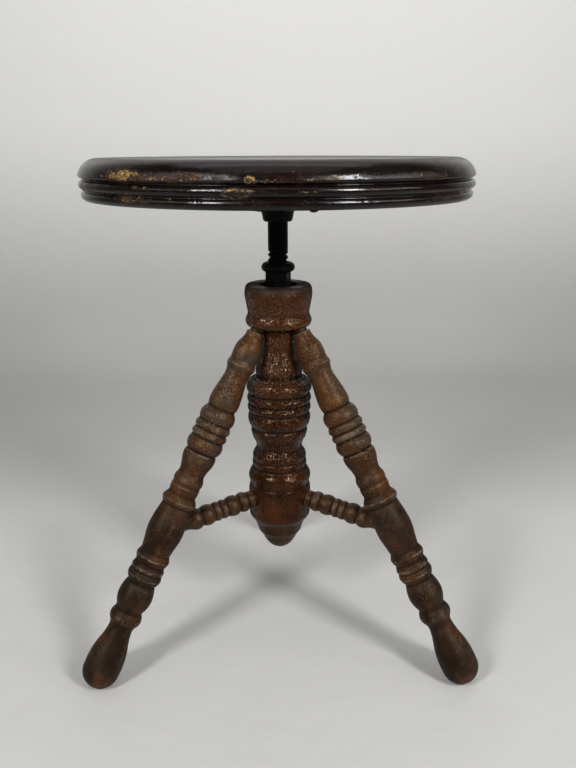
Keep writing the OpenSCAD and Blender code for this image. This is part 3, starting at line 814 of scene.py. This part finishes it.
def leg(side, material):
    around, longest, unevenness, first_seed, ball_points = 80, 2.0, 0.5, 11, 16
    ball = [(LEG_R * math.sin(a), LEG_R * (1 - math.cos(a)))
            for a in np.linspace(0, math.pi / 2, ball_points)]
    shaft = [(r, z + LEG_R) for r, z in turned(LEG_SHARES, LEG_LEN - LEG_R, LEG_R)][1:]
    tenon_end = LEG_LEN + LEG_TENON_LEN
    tenon = [(LEG_TENON_R, LEG_LEN), (LEG_TENON_R, tenon_end), (0, tenon_end)]
    points = softened(ball + shaft + tenon, longest)
    seed = first_seed + list(LEG_TURNS).index(side)
    obj = lathe("turned_leg_" + side, points, around, leg_place(LEG_TURNS[side]),
                waver(seed, unevenness))
    flatten_foot(obj.data)
    stand_in(obj, material, BASE, "leg_" + side)


def flatten_foot(mesh):
    """Brings what would reach under the floor up to it, as the worn flat of the foot."""
    for vertex in mesh.vertices:
        vertex.co.z = max(vertex.co.z, 0)


def column(material):
    around, longest, unevenness, seed = 112, 2.0, 0.35, 5
    low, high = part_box("column")
    length = (high.z - low.z) / MM
    recess_floor = length - RECESS_DEPTH
    points = turned(COLUMN_SHARES, length, COLUMN_R)
    points += [(RECESS_R + RECESS_EDGE, length), (RECESS_R, length - RECESS_EDGE),
               (RECESS_R, recess_floor), (NUT_SLEEVE_R, recess_floor), (0, recess_floor)]
    obj = lathe("turned_column", softened(points, longest), around,
                Matrix.Translation((0, 0, low.z)), waver(seed, unevenness))
    stand_in(obj, material, BASE, "column")


def stretcher_place(turn):
    """Frame of a stretcher, with +Z out along it from the column's axis, and its two ends."""
    low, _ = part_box("column")
    top = low.z / MM + STRETCHER_H
    meet_r = FOOT_REACH - LEG_MEET_LEN * math.sin(LEG_SPLAY)
    meet_z = FOOT_END_Z + LEG_MEET_LEN * math.cos(LEG_SPLAY)
    fall = math.atan((top - meet_z) / meet_r)
    run = meet_r / math.cos(fall)
    start = BODY_SHARE * COLUMN_R / math.cos(fall)
    stop = run - BARREL_SHARE * LEG_R / math.sin(math.pi / 2 - LEG_SPLAY - fall)
    place = (Matrix.Rotation(math.radians(turn), 4, "Z")
             @ Matrix.Translation((0, 0, top * MM))
             @ Matrix.Rotation(math.pi / 2 + fall, 4, "Y"))
    return place, start, stop


def stretcher(side, material):
    around, longest, unevenness, first_seed, wear_reach = 56, 1.5, 0.25, 31, 3.5
    place, start, stop = stretcher_place(LEG_TURNS[side])
    inner, outer = start - STRETCHER_TENON_LEN, stop + STRETCHER_TENON_LEN
    body = [(r, z + start) for r, z in turned(STRETCHER_SHARES, stop - start, STRETCHER_R)]
    points = [(0, inner), (STRETCHER_TENON_R, inner), (STRETCHER_TENON_R, start), *body,
              (STRETCHER_TENON_R, stop), (STRETCHER_TENON_R, outer), (0, outer)]
    seed = first_seed + list(LEG_TURNS).index(side)
    obj = lathe("turned_stretcher_" + side, softened(points, longest), around, place,
                waver(seed, unevenness), wear_reach=wear_reach)
    stand_in(obj, material, BASE, "stretcher_" + side)


def seat_outline(thick):
    """Outline of the seat from the middle of its underside to the middle of its dished top."""
    rim_points = 26
    half_edge, half_groove = SEAT_LOW_EDGE_R / 2, GROOVE_W / 2
    groove_r = SEAT_R - GROOVE_DEPTH
    high_z, low_z = thick * GROOVE_HIGH_SHARE, thick * GROOVE_LOW_SHARE
    rim_turn = math.acos(1 - thick * (1 - RIM_LOW_SHARE) / RIM_ROUND_R)
    crest_r = SEAT_R - RIM_ROUND_R * math.sin(rim_turn)
    points = [(0, 0), (groove_r - SEAT_LOW_EDGE_R, 0), (groove_r - half_edge, half_edge)]
    points += bowed(points[-1], (groove_r, low_z - half_groove), LOW_REED_BOW, steps=10)
    points.append((groove_r, low_z + half_groove))
    points += bowed(points[-1], (groove_r, high_z - half_groove), GROOVE_DEPTH, steps=14)
    points.append((groove_r, high_z + half_groove))
    points += bowed(points[-1], (SEAT_R, thick * RIM_LOW_SHARE), UPPER_LIP_BOW, steps=4)
    points += [(crest_r + RIM_ROUND_R * math.sin(a), thick - RIM_ROUND_R * (1 - math.cos(a)))
               for a in np.linspace(rim_turn, 0, rim_points)[1:]]
    points += bowed((crest_r, thick), (0, thick - DISH_DEPTH), -DISH_DEPTH * DISH_BOW_SHARE,
                    steps=24)
    return points


def marks(table, theta, points, spread=1.0):
    """Strength of the marks at each ring and direction of the seat, from 0 to 1."""
    core, fall, hollow_fall, rim_share = 1.4, 0.7, 3, 0.9
    on_rim = (points[:, 0] > SEAT_R * rim_share)[:, None]
    out = np.zeros((len(points), len(theta)))
    for turn, height, half_w, half_h, strength in table:
        centre = math.radians(turn - 90)
        gap = (theta - centre + math.pi) % (2 * math.pi) - math.pi
        across = gap * SEAT_R / (half_w * spread)
        up = (points[:, 1] - height) / (half_h * spread)
        far = np.sqrt(across[None, :] ** 2 + up[:, None] ** 2)
        near = core - (fall * far ** 2 if strength > 0 else hollow_fall * abs(far - 1))
        out = np.maximum(out, np.clip(near, 0, 1) * on_rim * abs(strength))
    return out


def seat(material):
    around, longest, unevenness, seed, wear_reach, chip_spread = 400, 8.0, 0.4, 3, 8.0, 1.15
    low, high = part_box("seat")
    points = softened(seat_outline((high.z - low.z) / MM), longest)
    theta = directions(around)
    extra = {"bare": marks(CHIPS, theta, points, chip_spread), "rub": marks(RUBS, theta, points)}
    obj = lathe("dished_seat", points, around, Matrix.Translation((0, 0, low.z)),
                waver(seed, unevenness), extra, wear_reach)
    stand_in(obj, material, SEAT_BODY, "seat")


def spindle_outline(length, thread_end):
    """Outline of the spindle as far up as it shows, with close rings along its thread."""
    tail_edge, thread_step, shank_step, beyond, last_gap = 1, 0.5, 6.0, 6, 1
    tail, shoulder = SPINDLE_TAIL_LEN, length - SPINDLE_SHOULDER_LEN
    close = np.arange(tail + SPINDLE_EDGE, thread_end + beyond, thread_step)
    wide = np.arange(thread_end + beyond, shoulder - last_gap, shank_step)
    points = [(0, 0), (SPINDLE_TAIL_R - tail_edge, 0), (SPINDLE_TAIL_R, tail_edge),
              (SPINDLE_TAIL_R, tail), (SPINDLE_R - SPINDLE_EDGE, tail)]
    points += [(SPINDLE_R, z) for z in (*close, *wide, shoulder)]
    points += [(SPINDLE_NECK_R, shoulder), (SPINDLE_NECK_R, length - SPINDLE_LEFT_OUT),
               (0, length - SPINDLE_LEFT_OUT)]
    return np.array(points)


def right_hand_thread(thread_end):
    """A change of radius that cuts a helix from the spindle's tail to its thread's end."""
    flat_share, flank_share, run_in, run_out, past_end, margin = 0.38, 0.34, 3, 2.5, 1, 0.1
    start = SPINDLE_TAIL_LEN + SPINDLE_EDGE
    front = -math.pi / 2

    def shape(theta, radius, height):
        phase = (height - thread_end) / THREAD_PITCH - (theta - front) / (2 * math.pi)
        saw = np.abs((phase % 1.0) * 2 - 1)
        groove = np.clip((saw - flat_share) / flank_share, 0, 1)
        grown = np.clip((height - start) / run_in, 0, 1)
        left = np.clip((thread_end + past_end - height) / run_out, 0, 1)
        return -THREAD_DEPTH * groove * grown * left * (radius > SPINDLE_R - margin)
    return shape


def spindle(material):
    around = 72
    low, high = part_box("spindle")
    _, nut_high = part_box("spindle_nut")
    thread_end = (nut_high.z - low.z) / MM + THREAD_OVER_NUT
    points = spindle_outline((high.z - low.z) / MM, thread_end)
    obj = lathe("threaded_spindle", points, around, Matrix.Translation((0, 0, low.z)),
                right_hand_thread(thread_end))
    stand_in(obj, material, SEAT_BODY, "spindle")


def carried_over(node, material):
    """A CAD node that stays as it is, with its own material."""
    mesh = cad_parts[node].data
    mesh.materials.clear()
    mesh.materials.append(material)


# Stage

def stage():
    """Floor and wall in one sheet, with a bend between them."""
    floor_y, wall_y, bend, half_width, wall_top, bend_points = -2.5, 1.25, 0.35, 4.0, 3.2, 12
    line = [(floor_y, 0.0), (wall_y - bend, 0.0)]
    line += [(wall_y - bend + bend * math.sin(a), bend * (1 - math.cos(a)))
             for a in np.linspace(0, math.pi / 2, bend_points)[1:]]
    line.append((wall_y, wall_top))
    verts = [(x, y, z) for y, z in line for x in (-half_width, half_width)]
    faces = [(2 * i, 2 * i + 1, 2 * i + 3, 2 * i + 2) for i in range(len(line) - 1)]
    mesh = bpy.data.meshes.new("floor")
    mesh.from_pydata(verts, [], faces)
    mesh.shade_smooth()
    obj = bpy.data.objects.new("floor", mesh)
    bpy.context.scene.collection.objects.link(obj)
    mesh.materials.append(pale_cloth("floor_cloth", CLOTH))


def lamp(name, azimuth, elevation, distance, size, power, aim):
    """A soft light that shines at a place."""
    data = bpy.data.lights.new(name, "AREA")
    data.shape = "RECTANGLE"
    data.size, data.size_y = size
    data.energy = power
    obj = bpy.data.objects.new(name, data)
    bpy.context.scene.collection.objects.link(obj)
    a, e = math.radians(azimuth), math.radians(elevation)
    offset = Vector((math.sin(a) * math.cos(e), -math.cos(a) * math.cos(e), math.sin(e)))
    obj.location = Vector(aim) + offset * distance
    obj.rotation_euler = (-offset).to_track_quat("-Z", "Y").to_euler()


def lights():
    world = bpy.data.worlds.new("studio")
    bpy.context.scene.world = world
    world.use_nodes = True
    background = world.node_tree.nodes["Background"]
    background.inputs["Color"].default_value = (*SKY, 1)
    background.inputs["Strength"].default_value = SKY_STRENGTH
    for row in LAMPS:
        lamp(*row)


def camera():
    data = bpy.data.cameras.new("photo_camera")
    data.sensor_width = SENSOR_MM
    data.lens = FOCAL_PX / FRAME_HEIGHT_PX * SENSOR_MM
    obj = bpy.data.objects.new("photo_camera", data)
    bpy.context.scene.collection.objects.link(obj)
    obj.matrix_world = (Matrix.Translation(CAMERA_PLACE)
                        @ Matrix.Rotation(math.radians(CAMERA_YAW), 4, "Z")
                        @ Matrix.Rotation(math.radians(90 - CAMERA_PITCH), 4, "X")
                        @ Matrix.Rotation(math.radians(CAMERA_ROLL), 4, "Z"))
    bpy.context.scene.camera = obj


camera()
stage()
lights()

column_wood = ColumnWood("column_varnish").material
leg_wood = LegWood("leg_varnish").material
stretcher_wood = StretcherWood("stretcher_varnish").material
seat_varnish = SeatVarnish("seat_varnish").material
black_iron = iron("spindle_iron_skin", BLACK_OILED, grains=700)
nut_iron = iron("nut_iron_skin", GREEN_BLACK, grains=700)
plate_iron = iron("plate_iron_skin", JAPANNED, grains=500)
screw_iron = iron("screw_steel_skin", DARK_STEEL, grains=900)

column(column_wood)
for side in LEG_TURNS:
    leg(side, leg_wood)
    stretcher(side, stretcher_wood)
seat(seat_varnish)
spindle(black_iron)
carried_over("spindle_nut", nut_iron)
carried_over("seat_plate", plate_iron)
carried_over("plate_screws", screw_iron)
carried_over("stop_pin", screw_iron)
carried_over("stop_washer", black_iron)

bpy.context.scene.view_settings.view_transform = "Standard"
